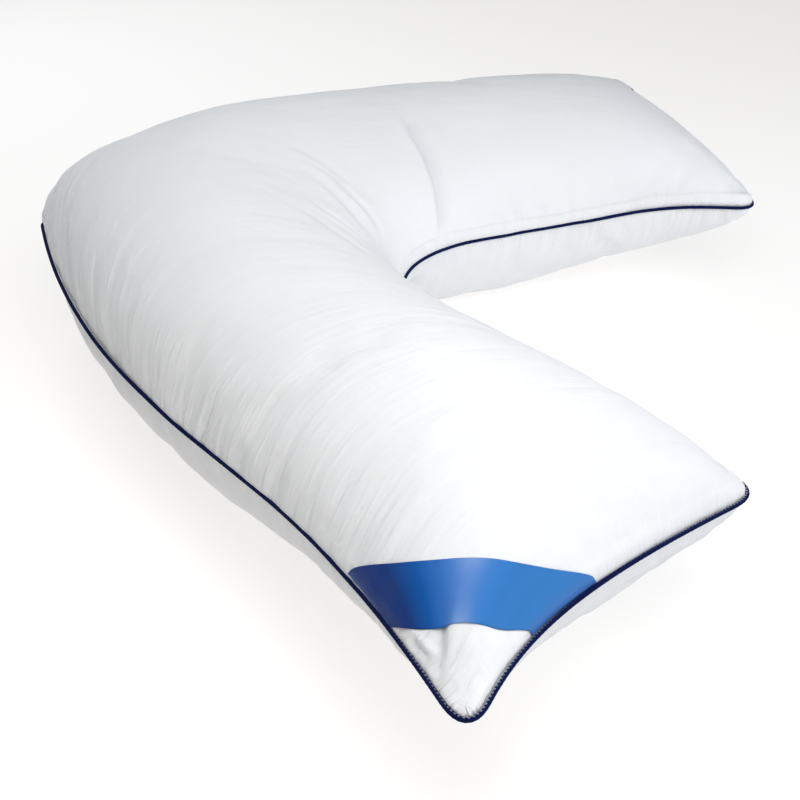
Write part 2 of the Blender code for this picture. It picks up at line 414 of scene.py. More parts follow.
def finished_mesh(name: str, bm: bmesh.types.BMesh, weld: float, sharp: float) -> bpy.types.Object:
    """Object of a bmesh: doubles merged, faces turned outwards, smooth shaded.

    Args:
        name: Name of the piece.
        bm: The bmesh, which is freed.
        weld: Distance under which points merge.
        sharp: Angle in degrees from which an edge is sharp.

    Returns:
        The new object, linked to the scene.
    """
    bmesh.ops.remove_doubles(bm, verts=bm.verts, dist=weld)
    bmesh.ops.recalc_face_normals(bm, faces=bm.faces)
    mesh = bpy.data.meshes.new(name)
    bm.to_mesh(mesh)
    bm.free()
    mesh.shade_smooth()
    mesh.set_sharp_from_angle(angle=math.radians(sharp))
    placed = bpy.data.objects.new(name, mesh)
    bpy.context.scene.collection.objects.link(placed)
    return placed


# Materials


def node_operator(operation: str, reflected: bool = False) -> Callable[..., "Signal"]:
    """Operator that adds a Math node, with its two sides swapped in the reflected form."""

    def operator(self: "Signal", other: "Signal | float") -> "Signal":
        """Result of the node."""
        return self.weave.maths(operation, *((other, self) if reflected else (self, other)))

    return operator


class Signal:
    """Number, colour or vector that varies over a surface: an output socket of a material."""

    def __init__(self, weave: "MaterialWeaver", socket: bpy.types.NodeSocket) -> None:
        """Keep the socket and the material that it belongs to."""
        self.weave = weave
        self.socket = socket

    __add__, __radd__ = node_operator("ADD"), node_operator("ADD", True)
    __sub__, __rsub__ = node_operator("SUBTRACT"), node_operator("SUBTRACT", True)
    __mul__, __rmul__ = node_operator("MULTIPLY"), node_operator("MULTIPLY", True)
    __truediv__, __rtruediv__ = node_operator("DIVIDE"), node_operator("DIVIDE", True)


class MaterialWeaver:
    """Builds one node material."""

    def __init__(self, name: str) -> None:
        """Start an empty material with its Principled shader and output."""
        self.material = bpy.data.materials.new(name)
        self.material.use_nodes = True
        self.tree = self.material.node_tree
        self.tree.nodes.clear()
        self.shader = self.node("ShaderNodeBsdfPrincipled")
        output = self.node("ShaderNodeOutputMaterial")
        self.tree.links.new(self.shader.outputs["BSDF"], output.inputs["Surface"])

    def node(
        self,
        kind: str,
        settings: dict[str, object] | None = None,
        sockets: dict[str | int, object] | None = None,
    ) -> bpy.types.Node:
        """Add a node.

        Args:
            kind: Type of the node.
            settings: Its own settings, set first; "stops" gives the stops of a ramp.
            sockets: Values or links of its input sockets, by name or number.

        Returns:
            The node.
        """
        made = self.tree.nodes.new(kind)
        for key, value in (settings or {}).items():
            if key == "stops":
                while len(made.color_ramp.elements) < len(value):
                    made.color_ramp.elements.new(0.5)
                for element, (position, colour) in zip(made.color_ramp.elements, value):
                    element.position, element.color = position, colour
            else:
                setattr(made, key, value)
        for key, value in (sockets or {}).items():
            self.plug(made.inputs[key], value)
        return made

    def plug(self, socket: bpy.types.NodeSocket, value: object) -> None:
        """Link a signal to a socket, or set its plain value."""
        if isinstance(value, Signal):
            self.tree.links.new(value.socket, socket)
        else:
            socket.default_value = value

    def out(self, node: bpy.types.Node, output: str | int = 0) -> Signal:
        """One output of a node as a signal."""
        return Signal(self, node.outputs[output])

    def maths(self, operation: str, *values: "Signal | float") -> Signal:
        """Result of one Math node."""
        sockets = dict(enumerate(values))
        return self.out(self.node("ShaderNodeMath", {"operation": operation}, sockets))

    def wave(self, signal: Signal, pitch: float) -> Signal:
        """Sine of a length, from -1 to 1, that repeats at the pitch."""
        return self.maths("SINE", signal * (2 * math.pi / pitch))

    def clamped(self, signal: Signal) -> Signal:
        """Signal kept between 0 and 1."""
        return self.maths("MINIMUM", self.maths("MAXIMUM", signal, 0.0), 1.0)

    def fading(self, distance: Signal, reach: float) -> Signal:
        """1 where the distance is 0, falling away over the reach."""
        return self.maths("EXPONENT", distance * (-1 / reach))

    def bell(self, offset: Signal) -> Signal:
        """1 where the offset is 0, falling away to both sides of it."""
        return self.maths("EXPONENT", offset * offset * -1)

    def uv(self) -> tuple[Signal, Signal, Signal]:
        """The piece's own UV in metres: the whole vector, along and across."""
        whole = self.out(self.node("ShaderNodeUVMap", {"uv_map": UV_NAME}))
        parts = self.node("ShaderNodeSeparateXYZ", sockets={0: whole})
        return whole, self.out(parts, 0), self.out(parts, 1)

    def measure(self, name: str) -> Signal:
        """Value of one of the piece's named measures."""
        return self.out(self.node("ShaderNodeAttribute", {"attribute_name": name}), "Fac")

    def stretched(self, vector: Signal, scale: Triple) -> Signal:
        """Vector scaled along each axis."""
        settings = {"operation": "MULTIPLY"}
        return self.out(self.node("ShaderNodeVectorMath", settings, {0: vector, 1: scale}))

    def noise(self, vector: Signal, scale: float, detail: float = 2.0) -> Signal:
        """Noise between 0 and 1."""
        sockets = {"Vector": vector, "Scale": scale, "Detail": detail}
        return self.out(self.node("ShaderNodeTexNoise", sockets=sockets), 0)

    def mixed(self, factor: Signal, first: "Signal | Colour", second: "Signal | Colour") -> Signal:
        """Colour between two others."""
        settings = {"data_type": "RGBA", "clamp_factor": True}
        node = self.node("ShaderNodeMix", settings, {0: factor, 6: first, 7: second})
        return self.out(node, 2)

    def bump(self, height: Signal, distance: float, below: Signal | None = None) -> Signal:
        """Normal of a height in units of a distance, over another bump."""
        sockets = {"Height": height, "Distance": distance, "Strength": 1.0}
        if below is not None:
            sockets["Normal"] = below
        return self.out(self.node("ShaderNodeBump", sockets=sockets))

    def finish(self, sockets: dict[str, object]) -> bpy.types.Material:
        """Plug the shader's sockets and hand over the material."""
        for key, value in sockets.items():
            self.plug(self.shader.inputs[key], value)
        return self.material


@dataclass(frozen=True)
class DrawnNoise:
    """Relief drawn out along lines, as on cloth that is pulled, pleated or puckered."""

    pitch: float
    length: float
    relief: float
    reach: float | None = None
    detail: float = 2.0

    def height(self, weave: MaterialWeaver, across: Signal, along: Signal) -> Signal:
        """Height over the cloth, which fades along the lines if it has a reach.

        Args:
            weave: The material that it is for.
            across: Place across the lines.
            along: Place along them.

        Returns:
            Height from 0 to 1.
        """
        spot = {0: across / self.pitch, 1: along / self.length}
        vector = weave.out(weave.node("ShaderNodeCombineXYZ", sockets=spot))
        noise = weave.noise(vector, 1.0, self.detail)
        return noise * weave.fading(along, self.reach) if self.reach else noise


@dataclass(frozen=True)
class CottonFinish:
    """White cotton cloth: plain weave, slubs, soft crinkle and fine gathers at the seam."""

    cloth: Colour = (0.830, 0.840, 0.850, 1.0)
    shade: Colour = (0.760, 0.768, 0.785, 1.0)
    # Tone that the cloth is darkened towards for painted shade, and for grime at the seam.
    painted_shade_tone: Colour = (0.640, 0.655, 0.690, 1.0)
    thread_pitch: float = 0.0006
    thread_relief: float = 0.00006
    slub_scale: float = 160.0
    slub_stretch: float = 0.12
    slub_relief: float = 0.00010
    pull: DrawnNoise = DrawnNoise(0.016, 0.11, 0.0021, detail=3.0)
    pleat: DrawnNoise = DrawnNoise(0.0075, 0.060, 0.0048, reach=0.070)
    pucker: DrawnNoise = DrawnNoise(0.0070, 0.050, 0.0022, reach=0.024)
    # Painted shade: how strongly the cloth darkens in sunk folds.
    fold_shade_strength: float = 0.55
    crinkle_scale: float = 42.0
    crinkle_detail: float = 4.0
    crinkle_relief: float = 0.0004
    gather_pitch: float = 0.0042
    gather_reach: float = 0.0032
    gather_relief: float = 0.00030
    stitch_pitch: float = 0.0033
    stitch_reach: float = 0.0024
    stitch_relief: float = 0.0009
    # Painted shade in the troughs of the stitch scallops.
    painted_stitch_shade: float = 0.8
    # Darkening in the seam crease: grime and painted shade.
    seam_grime_and_shade_reach: float = 0.0020
    seam_grime_and_shade: float = 0.6
    hem_reach: float = 0.0150
    hem_width: float = 0.0012
    hem_relief: float = 0.0008
    # Darker line where the allowance's edge shows, deepened as painted shade of its ridge.
    hem_line_and_painted_shade: float = 0.45
    hem_drift: float = 0.006
    hem_drift_scale: float = 14.0
    mottle_scale: float = 9.0
    mottle_shade: float = 0.5
    slub_shade: float = 0.3
    roughness: float = 0.80
    roughness_shares: Range = (0.06, 0.05)
    sheen: float = 0.12
    sheen_roughness: float = 0.5
    shine: float = 0.25

    def material(self) -> bpy.types.Material:
        """The node material."""
        weave = MaterialWeaver("white_cotton")
        uv, along, across = weave.uv()
        distance, run = weave.measure(SEAM_DISTANCE), weave.measure(SEAM_RUN)
        line, reach = weave.measure(PULL_LINE), weave.measure(PULL_REACH)
        threads = weave.wave(along, self.thread_pitch) * weave.wave(across, self.thread_pitch)
        warp = weave.noise(weave.stretched(uv, (self.slub_stretch, 1, 1)), self.slub_scale)
        weft = weave.noise(weave.stretched(uv, (1, self.slub_stretch, 1)), self.slub_scale)
        wander = weave.noise(uv, 1 / self.gather_pitch / 6) * self.gather_pitch * 2
        gathers = weave.wave(run + wander, self.gather_pitch)
        scallops = weave.wave(run, self.stitch_pitch) * weave.fading(distance, self.stitch_reach)
        scallops = scallops * weave.measure(STITCHING)
        drift = weave.noise(uv, self.hem_drift_scale)
        inside = (distance - self.hem_reach + self.hem_drift * (drift - 0.5)) / self.hem_width
        hem = weave.bell(inside) * drift * weave.measure(HEMMED)
        mottle = weave.noise(uv, self.mottle_scale, 3.0)
        puckers = self.pucker.height(weave, run, distance) * weave.measure(PUCKERED)
        normal = None
        for height, relief in (
            (self.pull.height(weave, line, reach), self.pull.relief),
            (self.pleat.height(weave, line, reach), self.pleat.relief),
            (puckers, self.pucker.relief),
            (weave.noise(uv, self.crinkle_scale, self.crinkle_detail), self.crinkle_relief),
            (hem, self.hem_relief),
            (gathers * weave.fading(distance, self.gather_reach), self.gather_relief),
            (scallops, self.stitch_relief),
            (warp + weft, self.slub_relief),
            (threads, self.thread_relief),
        ):
            normal = weave.bump(height, relief, normal)
        blend = mottle * self.mottle_shade + warp * weft * self.slub_shade
        colour = weave.mixed(blend, self.cloth, self.shade)
        for share in (
            # Grime and painted shade in the seam crease.
            weave.fading(distance, self.seam_grime_and_shade_reach) * self.seam_grime_and_shade,
            # Line of the allowance's edge, with painted shade of its ridge.
            hem * self.hem_line_and_painted_shade,
            # Painted shade in sunk folds.
            weave.measure(FOLD_SHADE) * self.fold_shade_strength,
            # Painted shade in the troughs of the stitch scallops.
            weave.clamped(0 - scallops) * self.painted_stitch_shade,
        ):
            colour = weave.mixed(share, colour, self.painted_shade_tone)
        smoother, rougher = self.roughness_shares
        sockets = {
            "Base Color": colour,
            "Normal": normal,
            "Sheen Weight": self.sheen,
            "Roughness": weave.clamped(self.roughness - smoother * mottle + rougher * warp),
            "Sheen Roughness": self.sheen_roughness,
            "Specular IOR Level": self.shine,
        }
        return weave.finish(sockets)


@dataclass(frozen=True)
class PipingFinish:
    """Navy bias-cut cloth round a cord, with the white scallops that close stitching pulls up."""

    cloth: Colour = (0.0015, 0.004, 0.036, 1.0)
    worn: Colour = (0.006, 0.015, 0.095, 1.0)
    scallop: Colour = (0.500, 0.530, 0.600, 1.0)
    scallop_pitch: float = 0.0033
    scallop_turn: float = 1.10
    scallop_spread: float = 0.36
    rib_pitch: float = 0.0011
    rib_slope: float = 1.2
    rib_relief: float = 0.00012
    fibre_scale: float = 900.0
    fibre_relief: float = 0.00006
    wear_scale: float = 30.0
    wear_shares: Triple = (0.5, 0.15, 0.3)
    roughness: float = 0.70
    fibre_roughness: float = 0.1
    shine: float = 0.06

    def material(self, radius: float) -> bpy.types.Material:
        """The node material, for a cord of this radius."""
        weave = MaterialWeaver("navy_piping")
        uv, along, around = weave.uv()
        ribs = weave.wave(along + around * self.rib_slope, self.rib_pitch)
        fibres = weave.noise(uv, self.fibre_scale)
        normal = weave.bump(fibres, self.fibre_relief, weave.bump(ribs, self.rib_relief))
        wear, rib, fibre = self.wear_shares
        worn = weave.noise(uv, self.wear_scale, 3.0) * wear + ribs * rib + fibres * fibre
        colour = weave.mixed(weave.clamped(worn), self.cloth, self.worn)
        inner_side = weave.bell((around / radius - self.scallop_turn) / self.scallop_spread)
        stitches = weave.clamped(weave.wave(along, self.scallop_pitch) * 2.0)
        shown = stitches * inner_side * weave.measure(STITCHING)
        colour = weave.mixed(shown, colour, self.scallop)
        rough = weave.clamped(self.roughness + self.fibre_roughness * fibres)
        sockets = {"Base Color": colour, "Roughness": rough, "Normal": normal}
        return weave.finish({**sockets, "Specular IOR Level": self.shine})


@dataclass(frozen=True)
class SatinFinish:
    """Royal blue satin: fine threads along the band, darker towards one end, painted reflections at
    both rims.
    """

    # Tones along the band, darker towards one end; the lighter violet first and last stops are
    # painted reflections.
    dye_and_painted_light_tones: tuple[tuple[float, Colour], ...] = (
        (0.00, (0.056, 0.125, 0.400, 1.0)),
        (0.03, (0.004, 0.036, 0.215, 1.0)),
        (0.20, (0.005, 0.041, 0.215, 1.0)),
        (0.32, (0.002, 0.096, 0.400, 1.0)),
        (0.44, (0.046, 0.192, 0.590, 1.0)),
        (0.62, (0.038, 0.200, 0.550, 1.0)),
        (0.86, (0.036, 0.200, 0.540, 1.0)),
        (0.96, (0.052, 0.200, 0.550, 1.0)),
        (1.00, (0.056, 0.170, 0.510, 1.0)),
    )
    # Painted highlight: its colour, and its place, reach and strength along the band.
    glint: Colour = (0.300, 0.430, 0.720, 1.0)
    glint_place: float = 0.50
    glint_reach: float = 0.052
    glint_strength: float = 0.52
    glint_middle: float = 0.35
    glint_stray: float = 0.02
    thread_pitch: float = 0.00050
    thread_relief: float = 0.00005
    streak_scale: float = 60.0
    streak_stretch: float = 0.10
    streak_shade: float = 0.80
    ripple_scale: float = 28.0
    ripple_stretch: float = 0.3
    ripple_relief: float = 0.0003
    roughness: float = 0.36
    streak_roughness: float = 0.10
    shine: float = 0.10

    def material(self, length: float, width: float) -> bpy.types.Material:
        """The node material, for a band of this length and width."""
        weave = MaterialWeaver("blue_satin")
        uv, along, across = weave.uv()
        share, over = along / length, across * (2 / width) - 1
        threads = weave.wave(across, self.thread_pitch)
        streaks = weave.noise(weave.stretched(uv, (1, self.streak_stretch, 1)), self.streak_scale)
        rippled = weave.stretched(uv, (1, self.ripple_stretch, 1))
        ripple = weave.noise(rippled, self.ripple_scale, 3.0)
        normal = weave.bump(threads, self.thread_relief, weave.bump(ripple, self.ripple_relief))
        tone = weave.out(weave.node("ShaderNodeValToRGB", {"stops": self.dye_and_painted_light_tones}, {0: share}))
        deep = weave.stretched(tone, (self.streak_shade,) * 3)
        colour = weave.mixed(streaks, deep, tone)
        # Painted highlight: a lighter patch halfway along the band, strongest towards its edges.
        aside = share - self.glint_place + self.glint_stray * streaks
        glint = weave.bell(aside / self.glint_reach)
        glint = glint * (self.glint_middle + (1 - self.glint_middle) * over * over)
        colour = weave.mixed(weave.clamped(glint * self.glint_strength), colour, self.glint)
        rough = weave.clamped(self.roughness + self.streak_roughness * streaks)
        sockets = {"Base Color": colour, "Roughness": rough, "Normal": normal}
        return weave.finish({**sockets, "Specular IOR Level": self.shine})


@dataclass(frozen=True)
class FloorFinish:
    """Matt white paper that glows a little, as on a light table, so shadows stay faint."""

    paper: Colour = (0.40, 0.40, 0.40, 1.0)
    light: Colour = (1.0, 0.98, 0.96, 1.0)
    glow: float = 0.65
    roughness: float = 0.9
    shine: float = 0.1

    def material(self) -> bpy.types.Material:
        """The node material."""
        sockets = {
            "Base Color": self.paper,
            "Roughness": self.roughness,
            "Specular IOR Level": self.shine,
            "Emission Color": self.light,
            "Emission Strength": self.glow,
        }
        return MaterialWeaver("white_paper").finish(sockets)


# Relief of the filled body


@dataclass
class BodyFace:
    """One face of the body on a fine grid, with what its relief is measured from."""

    face: Face
    station: Array
    across: Array
    places: Array

    def __post_init__(self) -> None:
        """Measure normals and the distance of every point from each seam along the cloth."""
        self.cavity = np.zeros(self.station.shape)
        self.normals = grid_normals(self.places, self.face)
        crosswise = arc_lengths(np.swapaxes(self.places, 0, 1)).T
        lengthwise = arc_lengths(self.places)
        self.from_seam = {
            Seam.OUTER: crosswise,
            Seam.INNER: crosswise[:, -1:] - crosswise,
            Seam.END: np.minimum(lengthwise, lengthwise[-1:] - lengthwise),
        }

    def fan(self, seam_length: float) -> tuple[Array, Array, Array]:
        """Pull lines of the cloth: they leave the near arm's outer seam and bend round the elbow.

        Args:
            seam_length: Length of the outer seam of one arm.

        Returns:
            Where on the seam the pull line through each point starts, in metres from the apex;
            how fast that changes over the cloth; and how far along the line the point lies.
        """
        s, away = -self.station, self.from_seam[Seam.OUTER]
        bend = np.hypot(s, FAN_BEND)
        ahead, growth = (s + bend) / 2, (1 + s / bend) / 2
        if self.face is Face.BOTTOM:
            ahead, growth = s, np.ones_like(s)
        lean = np.where((ahead < FAN_END) & (self.face is Face.TOP), FAN_LEAN, 0.0)
        ratio = seam_length / (seam_length + lean * away)
        start = (ahead * seam_length + lean * FAN_END * away) * ratio
        steep = np.hypot(ratio * growth, lean * (FAN_END - ahead) * ratio**2)
        return start, steep, away + (ahead - s) * seam_length

    def raise_by(self, relief: Array) -> None:
        """Move every point along its normal, none below the floor."""
        self.places = self.places + self.normals * relief[..., None]
        self.places[..., 2] = np.maximum(self.places[..., 2], 0.0)

    def seam_distance(self) -> Array:
        """Distance to the nearest seam."""
        return np.minimum.reduce(list(self.from_seam.values()))


@dataclass(frozen=True)
class Fold:
    """Soft ridge, trough or step that runs along a path on one face."""

    path: tuple[Measure, ...]
    width: float
    rise: float
    step: float = 0.0
    face: Face = Face.TOP
    fade: float = 0.35
    lip_spread: float = 3.5
    cuts: int = 3

    def _line(self, panel: Panel) -> Array:
        """The path on the panel's surface, with its corners cut."""
        points = np.array(self.path)
        for _ in range(self.cuts):
            parts = [points[:1]]
            for a, b in zip(points[:-1], points[1:]):
                parts.append(np.array([0.75 * a + 0.25 * b, 0.25 * a + 0.75 * b]))
            points = np.concatenate([*parts, points[-1:]])
        return panel.surface(points[:, 0], points[:, 1], self.face)

    def relief(self, body: BodyFace, panel: Panel) -> Array:
        """Height that the fold adds at each point of a face.

        Args:
            body: The face, which may be the other one.
            panel: The panel that the path lies on.

        Returns:
            Heights, 0 away from the fold.
        """
        if body.face is not self.face:
            return np.zeros(body.station.shape)
        line = self._line(panel)
        lengths = arc_lengths(line)
        nearest = np.full(body.station.shape, np.inf)
        fraction = np.zeros(body.station.shape)
        side = np.zeros(body.station.shape)
        for k in range(len(line) - 1):
            start, run = line[k], line[k + 1] - line[k]
            reach = body.places - start
            at = np.clip(reach @ run / max(run @ run, TINY), 0.0, 1.0)
            away = reach - at[..., None] * run
            distance = np.linalg.norm(away, axis=-1)
            closer = distance < nearest
            nearest = np.where(closer, distance, nearest)
            where = (lengths[k] + at * (lengths[k + 1] - lengths[k])) / lengths[-1]
            fraction = np.where(closer, where, fraction)
            turn = np.einsum("...k,...k->...", np.cross(run, away), body.normals)
            side = np.where(closer, turn / max(np.linalg.norm(run), TINY), side)
        envelope = ease(fraction / self.fade) * ease((1 - fraction) / self.fade)
        bell = np.exp(-((nearest / self.width) ** 2))
        lip = np.exp(-((nearest / (self.lip_spread * self.width)) ** 2))
        lip = np.tanh(side / self.width) * lip
        return (self.rise * bell + self.step * lip) * envelope


@dataclass(frozen=True)
class Gathers:
    """Fine puckers that start at one stretch of seam and fade as they climb the cloth."""

    seam: Seam
    arm: int
    face: Face
    seed: int
    start: float
    stop: float
    pitch: float = 0.017
    reach: float = 0.085
    width: float = 0.0048
    depth: float = 0.0013
    slant: float = 0.0
    bite: float = 0.008
    taper: float = 0.02
    widths: Range = (0.65, 1.5)
    depths: Range = (0.35, 1.35)
    reaches: Range = (0.45, 1.4)
    slants: Range = (-0.10, 0.10)
    bends: Range = (-0.6, 0.6)
    pitches: Range = (0.5, 1.5)
    fall_power: float = 1.5

    def relief(self, body: BodyFace, seam_length: float) -> Array:
        """Height that the puckers add at each point of a face.

        Args:
            body: The face, which may be the other one.
            seam_length: Length of that stretch of seam.

        Returns:
            Heights, mostly below 0.
        """
        total = np.zeros(body.station.shape)
        if body.face is not self.face:
            return total
        away = climbed = body.from_seam[self.seam]
        if self.seam is Seam.OUTER and self.arm < 0:
            run, steep, climbed = body.fan(seam_length)
            on_arm = 1.0
        else:
            measure = body.across if self.seam is Seam.END else np.abs(body.station)
            run, steep = measure * seam_length, 1.0
            on_arm = (body.station * self.arm >= 0) * 1.0
        chance = np.random.default_rng(self.seed)
        first, last = self.start * seam_length, self.stop * seam_length
        at = first
        while at < last:
            width = self.width * chance.uniform(*self.widths)
            depth = self.depth * chance.uniform(*self.depths)
            depth *= ease((at - first) / self.taper) * ease((last - at) / self.taper)
            reach = self.reach * chance.uniform(*self.reaches)
            slant = self.slant + chance.uniform(*self.slants)
            bend = chance.uniform(*self.bends)
            spread = width * (1 + away / reach) * steep
            aside = (run - at - slant * away - bend * away * away) / spread
            ripple = np.exp(-(aside**2)) - 0.5 * np.exp(-((aside / 2) ** 2))
            fall = np.exp(-((climbed / reach) ** self.fall_power))
            total -= depth * ripple * (1 - np.exp(-away / self.bite)) * fall
            at += self.pitch * chance.uniform(*self.pitches)
        return total * on_arm


@dataclass(frozen=True)
class Allowance:
    """Edge of the seam allowance, which shows through the cloth as a faint ridge by the seam."""

    reach: float = 0.0150
    width: float = 0.0022
    rise: float = 0.0007
    far_inner_gain: float = 3.2
    far_start: float = 0.12
    end_length: float = 0.33
    wander: float = 0.0015
    wander_pitch: float = 0.09
    strength: Range = (0.6, 0.4)
    strength_pitch: float = 0.13
    terrace: float = 0.45
    onset: float = 0.006
    seeds: tuple[int, int] = (71, 78)

    def relief(self, body: BodyFace) -> Array:
        """Height that the allowance adds at each point of a face."""
        total = np.zeros(body.station.shape)
        if body.face is Face.BOTTOM:
            return total
        for seam, away in body.from_seam.items():
            along = 3.0 + (body.across * self.end_length if seam is Seam.END else body.station)
            wander = SoftNoise(self.seeds[0] + seam.value, self.wander_pitch).at(along)
            waxing = SoftNoise(self.seeds[1] + seam.value, self.strength_pitch).at(along)
            far_inner = (body.station > self.far_start) & (seam is Seam.INNER)
            gain = np.where(far_inner, self.far_inner_gain, 1.0)
            offset = (away - self.reach - self.wander * wander) / self.width
            ridge = np.exp(-(offset**2)) + self.terrace * (1 - np.tanh(offset))
            ridge = ridge * (self.strength[0] + self.strength[1] * waxing) * gain
            total = np.maximum(total, ridge * ease(away / self.onset))
        return self.rise * total


CLOTH_SETTINGS = {
    "quality": 5,
    "mass": 0.25,
    "tension_stiffness": 15.0,
    "compression_stiffness": 15.0,
    "shear_stiffness": 5.0,
    "bending_stiffness": 0.05,
    "vertex_group_mass": "held",
    "use_pressure": True,
}


@dataclass
class Swelling:
    """Cloth simulation that lets the filling press out and the cloth crumple a little."""

    columns: int = 150
    rows: int = 48
    start_size: float = 0.985
    frames: int = 20
    pressure: float = 4.0
    growth: float = 0.012
    cap: float = 0.003
    bulk_passes: int = 40
    weld: float = 0.00002
    smooth_angle: float = 180.0
    resting_height: float = 0.001

    def run(self, panel: Panel) -> dict[Face, Array]:
        """Simulate the closed body.

        Args:
            panel: The measure of the cloth.

        Returns:
            How far each point of a coarse grid moves, for each face.
        """
        u, v = np.linspace(-1, 1, self.columns + 1), np.linspace(-1, 1, self.rows + 1)
        station, across = np.meshgrid(spaced_station(u), spaced_across(v), indexing="ij")
        i, j = np.indices(station.shape)
        bm = bmesh.new()
        for face in Face:
            places = panel.surface(station, across, face, self.start_size)
            marks = {"i": i, "j": j, "side": np.full(station.shape, face.value)}
            ClothGrid(places, np.stack([station, across], axis=-1), marks).add_to(bm)
        body = finished_mesh("swelling_body", bm, self.weld, self.smooth_angle)
        start = self._coordinates(body.data)
        marks = {name: self._marks(body.data, name) for name in ("i", "j", "side")}
        on_seam = (marks["i"] % self.columns == 0) | (marks["j"] % self.rows == 0)
        resting = (marks["side"] < 0) & (start[:, 2] < self.resting_height)
        pins = body.vertex_groups.new(name="held")
        pins.add([int(k) for k in np.flatnonzero(on_seam | resting)], 1.0, "REPLACE")
        moved = self._simulate(body) - start
        bpy.data.objects.remove(body, do_unlink=True)
        return {face: self._detail(moved, marks, face) for face in Face}

    def _simulate(self, body: bpy.types.Object) -> Array:
        """Run the cloth and give the places of its points at the end."""
        cloth = body.modifiers.new("cloth", "CLOTH")
        for name, value in CLOTH_SETTINGS.items():
            setattr(cloth.settings, name, value)
        cloth.settings.uniform_pressure_force = self.pressure
        cloth.settings.shrink_min = -self.growth
        cloth.settings.effector_weights.gravity = 0.0
        cloth.collision_settings.use_collision = False
        cloth.point_cache.frame_start, cloth.point_cache.frame_end = 1, self.frames
        for number in range(1, self.frames + 1):
            bpy.context.scene.frame_set(number)
        evaluated = body.evaluated_get(bpy.context.evaluated_depsgraph_get())
        end = self._coordinates(evaluated.data)
        body.modifiers.remove(cloth)
        bpy.context.scene.frame_set(1)
        return end

    def _detail(self, moved: Array, marks: dict[str, Array], face: Face) -> Array:
        """Crumple of one face as a grid: the wide swelling is held back and the rest is capped."""
        grid = np.zeros((self.columns + 1, self.rows + 1, 3))
        i, j = marks["i"].astype(int), marks["j"].astype(int)
        mine = marks["side"] == face.value
        grid[i[mine], j[mine]] = moved[mine]
        for edge in (grid[0], grid[-1], grid[:, 0], grid[:, -1]):
            edge[:] = 0.0
        detail = grid - blurred(grid, self.bulk_passes)
        size = np.linalg.norm(detail, axis=-1, keepdims=True)
        return detail * np.minimum(1.0, self.cap / np.maximum(size, TINY))

    @staticmethod
    def _coordinates(mesh: bpy.types.Mesh) -> Array:
        """Places of a mesh's points."""
        values = np.zeros(len(mesh.vertices) * 3)
        mesh.vertices.foreach_get("co", values)
        return values.reshape(-1, 3)

    @staticmethod
    def _marks(mesh: bpy.types.Mesh, name: str) -> Array:
        """Values of a mesh's named measure."""
        values = np.zeros(len(mesh.vertices))
        mesh.attributes[name].data.foreach_get("value", values)
        return np.round(values)


FOLDS = (
    # Crescents that sweep from the crown of the elbow into the crotch
    Fold(
        ((0.06, 0.64), (0.064, 0.69), (0.059, 0.75), (0.044, 0.825), (0.01, 0.88)),
        0.004,
        -0.0028,
    ),
    Fold(
        ((0.052, 0.67), (0.056, 0.71), (0.05, 0.77), (0.034, 0.845), (0.002, 0.92)),
        0.0036,
        0.002,
    ),
    Fold(
        ((0.042, 0.7), (0.046, 0.76), (0.022, 0.845), (0.005, 0.928), (-0.055, 0.96)),
        0.0036,
        -0.0028,
    ),
    Fold(
        ((0.03, 0.72), (0.028, 0.77), (0.002, 0.845), (-0.02, 0.915), (-0.06, 0.95)),
        0.0034,
        0.0016,
    ),
    Fold(
        ((0.004, 0.73), (0.0, 0.77), (-0.02, 0.835), (-0.055, 0.901), (-0.075, 0.945)),
        0.0036,
        -0.0022,
    ),
    Fold(((-0.11, 0.76), (-0.124, 0.822), (-0.134, 0.876), (-0.17, 0.9)), 0.004, -0.0026),
    Fold(((-0.14, 0.75), (-0.158, 0.81), (-0.172, 0.85), (-0.22, 0.88)), 0.004, 0.0018),
    Fold(((-0.18, 0.72), (-0.206, 0.756), (-0.247, 0.794), (-0.3, 0.814)), 0.0048, -0.0022),
    # Overlap on the far arm, from its crown to the inner seam
    Fold(
        (
            (0.33, 0.66),
            (0.276, 0.77),
            (0.264, 0.812),
            (0.231, 0.884),
            (0.207, 0.933),
            (0.164, 0.997),
        ),
        0.0034,
        -0.0036,
        step=-0.0034,
        fade=0.15,
    ),
    # Trough under the band at the outer corner of the near arm, and the gather beside it
    Fold(
        ((-0.918, 0.11), (-0.928, 0.0725), (-0.935, 0.047), (-0.943, 0.0287), (-0.954, 0.003)),
        0.0046,
        -0.0043,
        step=0.002,
        fade=0.16,
    ),
    Fold(((-0.907, 0.003), (-0.9225, 0.006), (-0.939, 0.009)), 0.0028, -0.0022),
    Fold(((-0.912, 0.012), (-0.926, 0.014), (-0.936, 0.018)), 0.003, 0.0012),
    # Folds of the lower panel beside the crotch
    Fold(((0.03, 0.995), (0.055, 0.95), (0.08, 0.87)), 0.012, -0.012, 0.0, Face.BOTTOM, 0.15),
    Fold(((0.088, 0.995), (0.104, 0.95), (0.124, 0.89)), 0.007, -0.0055, 0.0, Face.BOTTOM, 0.15),
    Fold(((0.112, 0.995), (0.13, 0.96), (0.148, 0.9)), 0.006, -0.0035, face=Face.BOTTOM),
    Fold(((0.169, 0.995), (0.19, 0.96), (0.213, 0.9)), 0.006, 0.0025, face=Face.BOTTOM),
    Fold(((0.06, 0.995), (0.07, 0.96), (0.09, 0.9)), 0.006, 0.0025, face=Face.BOTTOM),
)

